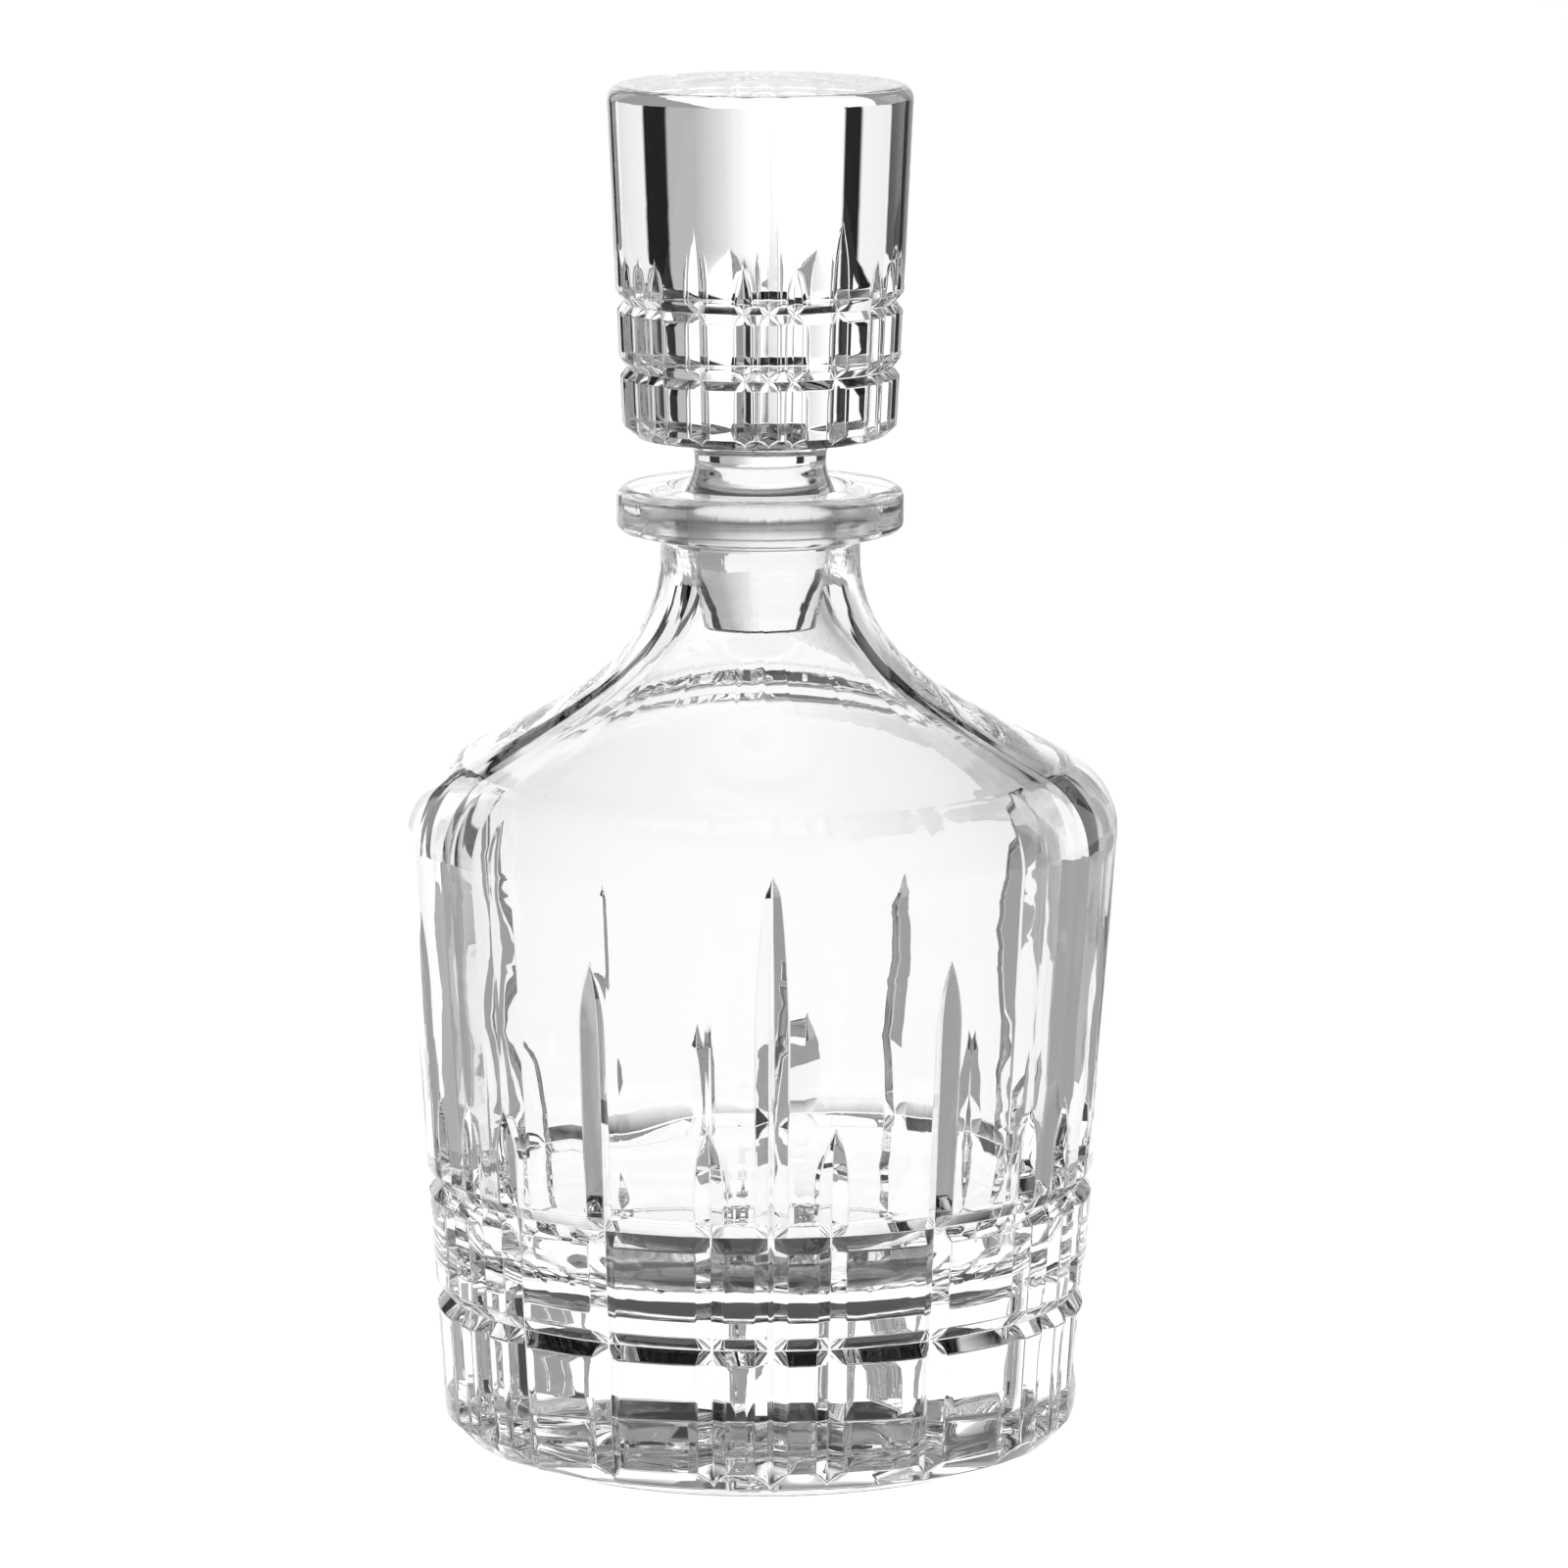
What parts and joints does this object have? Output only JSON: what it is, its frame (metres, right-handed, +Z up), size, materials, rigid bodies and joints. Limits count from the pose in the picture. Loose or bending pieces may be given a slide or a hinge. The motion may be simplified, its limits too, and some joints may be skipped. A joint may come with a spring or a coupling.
{
  "type": "decanter",
  "caption": "Cut crystal spirits decanter with a heavy solid foot, vertical and ring V cuts, a flat lip ring and a lift-out solid glass stopper",
  "frame": {"origin": "the middle of the flat ring that the bottle stands on", "axes": "+Z is up along the bottle's axis, -Y is the front, where a tall cut stands in the middle, +X is the right-hand side"},
  "size_m": [0.1197, 0.1198, 0.229],
  "materials": {
    "bottle_crystal": "polished",
    "stopper_crystal": "polished"
  },
  "bodies": {
    "bottle": {"bottle_foot": "bottle_crystal", "bottle_wall": "bottle_crystal", "bottle_shoulder": "bottle_crystal", "bottle_neck": "bottle_crystal", "bottle_lip": "bottle_crystal"},
    "stopper": {"stopper": "stopper_crystal"}
  },
  "joints": [
    {"name": "stopper_lift", "type": "slide", "parent": "bottle", "child": "stopper", "axis": [0, 0, 1], "range_m": [0, 0.06]}
  ]
}
